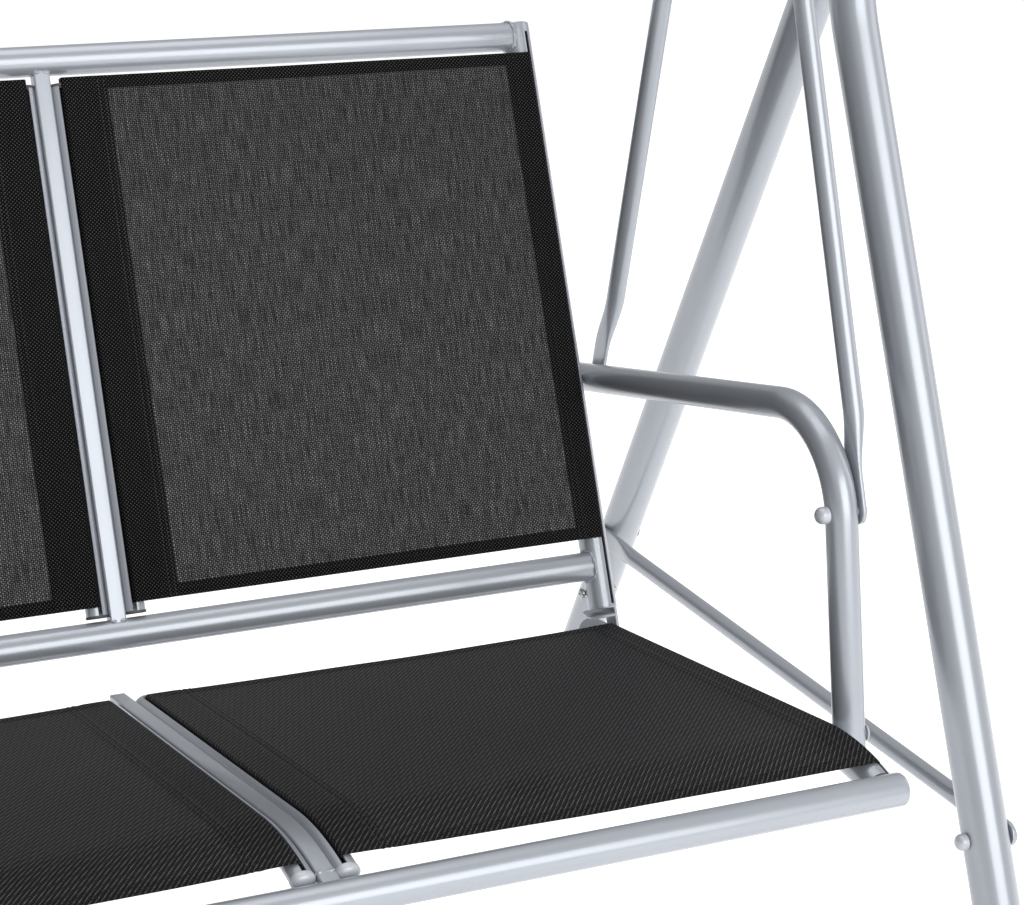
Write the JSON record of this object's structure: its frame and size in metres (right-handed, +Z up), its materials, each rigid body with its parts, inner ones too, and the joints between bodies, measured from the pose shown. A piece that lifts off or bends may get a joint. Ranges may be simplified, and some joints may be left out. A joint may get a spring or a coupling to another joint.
{
  "type": "porch swing",
  "caption": "Free-standing garden swing: slung mesh seat and back on slotted rails, hung by straight bars from a top beam between splayed tubular legs.",
  "frame": {"origin": "centre of the footprint on the ground, under the middle of the top beam", "axes": "+X to the right of a viewer in front, along the top beam; +Y towards the back; +Z up"},
  "size_m": [1.76, 1.1064, 1.444],
  "materials": {
    "frame_paint": "gloss",
    "mesh_fabric": "matte",
    "fastener": "satin",
    "foot_plastic": "matte"
  },
  "bodies": {
    "frame": {"front_beam_bolt_left": "fastener", "front_beam_bolt_right": "fastener", "front_brace_bolt_left": "fastener", "front_brace_bolt_right": "fastener", "front_foot_cap_left": "foot_plastic", "front_foot_cap_right": "foot_plastic", "front_leg_left": "frame_paint", "front_leg_right": "frame_paint", "pivot_bolt_left": "fastener", "pivot_bolt_right": "fastener", "rear_beam_bolt_left": "fastener", "rear_beam_bolt_right": "fastener", "rear_brace_bolt_left": "fastener", "rear_brace_bolt_right": "fastener", "rear_foot_cap_left": "foot_plastic", "rear_foot_cap_right": "foot_plastic", "rear_leg_left": "frame_paint", "rear_leg_right": "frame_paint", "side_brace_left": "frame_paint", "side_brace_right": "frame_paint", "top_beam": "frame_paint"},
    "swing": {"armrest_left": "frame_paint", "armrest_right": "frame_paint", "back_inboard_rail_left": "frame_paint", "back_inboard_rail_right": "frame_paint", "back_lower_tube": "frame_paint", "back_outboard_rail_left": "frame_paint", "back_outboard_rail_right": "frame_paint", "back_outer_rail_left": "frame_paint", "back_outer_rail_right": "frame_paint", "back_panel_centre": "mesh_fabric", "back_panel_left": "mesh_fabric", "back_panel_right": "mesh_fabric", "back_strut_left": "frame_paint", "back_strut_right": "frame_paint", "back_top_tube": "frame_paint", "front_hanger_bolt_left": "fastener", "front_hanger_bolt_right": "fastener", "front_hanger_left": "frame_paint", "front_hanger_right": "frame_paint", "post_bolt_left": "fastener", "post_bolt_right": "fastener", "rear_hanger_bolt_left": "fastener", "rear_hanger_bolt_right": "fastener", "rear_hanger_left": "frame_paint", "rear_hanger_right": "frame_paint", "seat_front_tube": "frame_paint", "seat_inboard_rail_left": "frame_paint", "seat_inboard_rail_right": "frame_paint", "seat_outboard_rail_left": "frame_paint", "seat_outboard_rail_right": "frame_paint", "seat_outer_rail_left": "frame_paint", "seat_outer_rail_right": "frame_paint", "seat_panel_centre": "mesh_fabric", "seat_panel_left": "mesh_fabric", "seat_panel_right": "mesh_fabric", "seat_rear_tube": "frame_paint", "seat_strut_left": "frame_paint", "seat_strut_right": "frame_paint"}
  },
  "joints": [
    {"name": "swing", "type": "hinge", "parent": "frame", "child": "swing", "pos_m": [0, 0, 1.385], "axis": [1, 0, 0], "range_deg": [-20, 20]}
  ]
}
